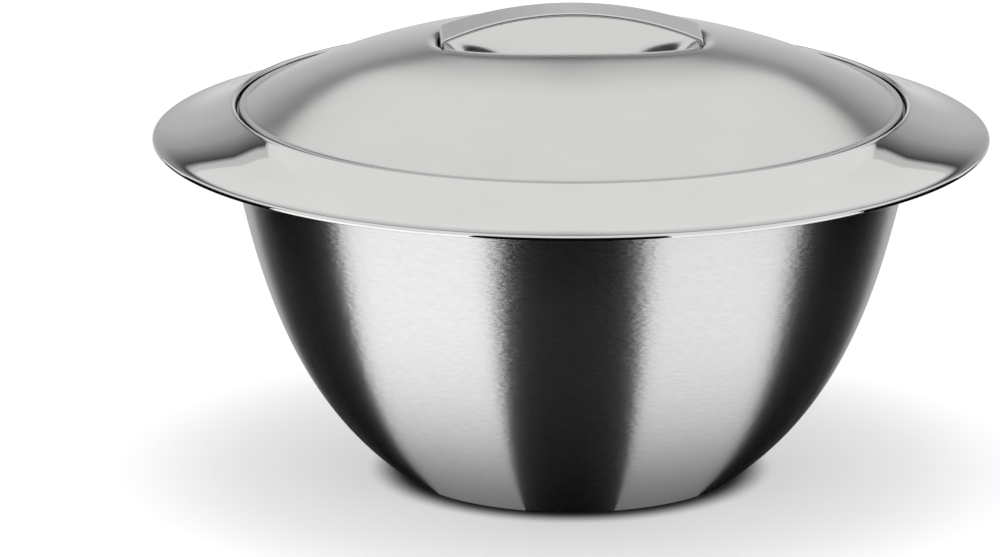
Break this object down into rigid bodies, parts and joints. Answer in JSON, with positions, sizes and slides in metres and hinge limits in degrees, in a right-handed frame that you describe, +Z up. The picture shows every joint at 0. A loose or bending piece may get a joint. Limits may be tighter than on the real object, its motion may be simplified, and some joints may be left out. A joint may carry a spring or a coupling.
{
  "type": "insulated salad bowl",
  "caption": "Double-walled round steel salad bowl with a wide sloping brim and a domed double-walled lid that lifts off by a strap handle over a finger recess.",
  "frame": {"origin": "on the bowl's axis, on the surface that it stands on", "axes": "+Z up along the bowl's axis, X along the strap handle, the picture looks along +Y"},
  "size_m": [0.22, 0.22, 0.125],
  "materials": {
    "polished_steel": "mirror-polished stainless steel",
    "satin_steel": "softly polished stainless steel",
    "brushed_steel": "stainless steel brushed round the bowl's axis"
  },
  "bodies": {
    "bowl": {"inner_bowl": "polished_steel", "outer_shell": "brushed_steel", "base_disc": "brushed_steel", "vent_plug": "satin_steel"},
    "lid": {"lid_cover": "satin_steel", "lid_liner": "satin_steel", "handle_strap": "satin_steel"}
  },
  "joints": [
    {"name": "lid_lift", "type": "slide", "parent": "bowl", "child": "lid", "axis": [0, 0, 1], "range_m": [0, 0.12]}
  ]
}
